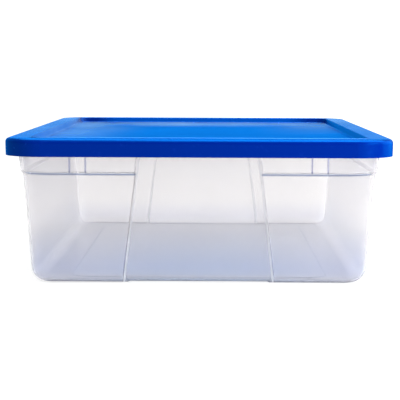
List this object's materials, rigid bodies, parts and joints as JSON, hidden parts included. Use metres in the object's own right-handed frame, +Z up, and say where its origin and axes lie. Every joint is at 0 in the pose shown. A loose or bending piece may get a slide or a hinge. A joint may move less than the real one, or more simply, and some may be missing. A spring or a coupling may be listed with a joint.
{
  "type": "under bed storage box",
  "caption": "Low rectangular see-through tub with a press-on lid, for storing things under a bed.",
  "frame": {"origin": "on the floor, under the middle of the tub's foot", "axes": "+Z up, +Y along the length, +X across the width; both ends and both sides are alike"},
  "size_m": [0.4144, 0.584, 0.1567],
  "materials": {
    "tub_plastic": "milky clear polypropylene, satin moulded surface",
    "lid_plastic": "opaque blue polypropylene, fine satin gloss"
  },
  "bodies": {
    "tub": {"tub": "tub_plastic"},
    "lid": {"lid": "lid_plastic"}
  },
  "joints": [
    {"name": "lid_lift", "type": "slide", "parent": "tub", "child": "lid", "axis": [0, 0, 1], "range_m": [0, 0.2]}
  ]
}
